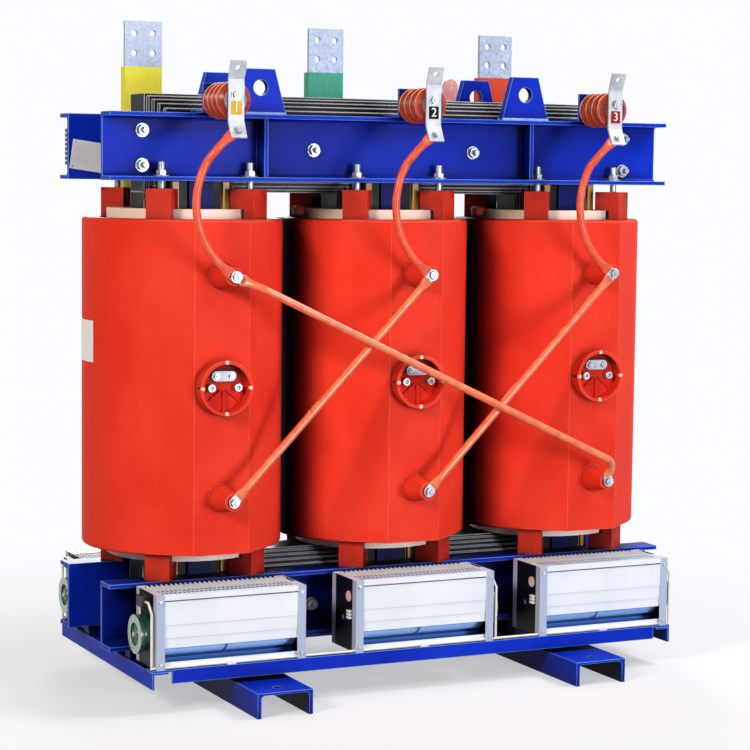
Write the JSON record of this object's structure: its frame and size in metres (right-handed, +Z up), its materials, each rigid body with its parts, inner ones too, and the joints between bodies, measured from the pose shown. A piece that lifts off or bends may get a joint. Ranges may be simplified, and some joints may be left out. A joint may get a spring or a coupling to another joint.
{
  "type": "dry-type power transformer",
  "caption": "Cast-resin dry-type power transformer: red cylindrical coils on a stepped laminated core between blue channel clamps, on a base frame with cross-flow cooling fans.",
  "frame": {"origin": "centre of the footprint, on the floor", "axes": "+X along the row of coils to the right as seen from the high-voltage side, +Y towards the low-voltage side, +Z up"},
  "size_m": [1.5235, 0.9282, 1.6367],
  "materials": {
    "black_plastic": "moulded",
    "block_resin": "matt moulded resin",
    "blue_enamel": "gloss enamel",
    "core_lacquer": "satin core lacquer",
    "galvanised_sheet": "galvanised sheet",
    "green_enamel": "gloss enamel",
    "hv_resin": "satin cast resin",
    "insulator_resin": "gloss moulded resin",
    "lv_resin": "satin resin",
    "pale_paint": "brushed paint",
    "rotor_aluminium": "plain sheet",
    "sleeve_red": "shrink sleeve",
    "tinned_copper": "tin plate",
    "wedge_wood": "varnished",
    "white_pvc": "extruded",
    "zinc_steel": "zinc plate"
  },
  "bodies": {
    "root": {"foot_left": "blue_enamel", "foot_right": "blue_enamel", "front_rail": "blue_enamel", "rear_rail": "blue_enamel", "left_rail": "blue_enamel", "right_rail": "blue_enamel", "base_packers": "blue_enamel", "bottom_clamp_front": "blue_enamel", "bottom_clamp_rear": "blue_enamel", "top_clamp_front": "blue_enamel", "top_clamp_rear": "blue_enamel", "lifting_lugs": "blue_enamel", "core_bottom_yoke": "core_lacquer", "core_top_yoke": "core_lacquer", "core_limbs": "core_lacquer", "tie_plates": "blue_enamel", "limb_wedges": "wedge_wood", "lv_coil_a": "lv_resin", "lv_coil_b": "lv_resin", "lv_coil_c": "lv_resin", "hv_coil_a": "hv_resin", "hv_coil_b": "hv_resin", "hv_coil_c": "hv_resin", "tap_links": "tinned_copper", "lower_support_blocks": "block_resin", "upper_support_blocks": "block_resin", "pressure_screws": "zinc_steel", "insulator_brackets": "blue_enamel", "hv_insulators": "insulator_resin", "hv_terminal_tabs": "tinned_copper", "hv_leads": "sleeve_red", "delta_bar_long": "sleeve_red", "delta_bar_left": "sleeve_red", "delta_bar_right": "sleeve_red", "lv_bar_a": "tinned_copper", "lv_bar_b": "tinned_copper", "lv_bar_c": "tinned_copper", "neutral_bar": "pale_paint", "lv_standoffs": "insulator_resin", "terminal_strip": "black_plastic", "fan_housings_front": "galvanised_sheet", "fan_housings_rear": "galvanised_sheet", "fan_motors": "green_enamel", "fan_terminal_boxes": "black_plastic", "fan_cable_front": "white_pvc", "fan_cable_rear": "white_pvc"},
    "rotor_front_a": {"rotor_front_a": "rotor_aluminium"},
    "rotor_front_b": {"rotor_front_b": "rotor_aluminium"},
    "rotor_front_c": {"rotor_front_c": "rotor_aluminium"},
    "rotor_rear_a": {"rotor_rear_a": "rotor_aluminium"},
    "rotor_rear_b": {"rotor_rear_b": "rotor_aluminium"},
    "rotor_rear_c": {"rotor_rear_c": "rotor_aluminium"}
  },
  "joints": [
    {"name": "rotor_front_a_spin", "type": "hinge", "parent": "root", "child": "rotor_front_a", "pos_m": [-0.51, -0.26415, 0.18], "axis": [1, 0, 0], "continuous": true},
    {"name": "rotor_front_b_spin", "type": "hinge", "parent": "root", "child": "rotor_front_b", "pos_m": [0, -0.26415, 0.18], "axis": [1, 0, 0], "continuous": true},
    {"name": "rotor_front_c_spin", "type": "hinge", "parent": "root", "child": "rotor_front_c", "pos_m": [0.51, -0.26415, 0.18], "axis": [1, 0, 0], "continuous": true},
    {"name": "rotor_rear_a_spin", "type": "hinge", "parent": "root", "child": "rotor_rear_a", "pos_m": [-0.51, 0.26415, 0.18], "axis": [1, 0, 0], "continuous": true},
    {"name": "rotor_rear_b_spin", "type": "hinge", "parent": "root", "child": "rotor_rear_b", "pos_m": [0, 0.26415, 0.18], "axis": [1, 0, 0], "continuous": true},
    {"name": "rotor_rear_c_spin", "type": "hinge", "parent": "root", "child": "rotor_rear_c", "pos_m": [0.51, 0.26415, 0.18], "axis": [1, 0, 0], "continuous": true}
  ]
}
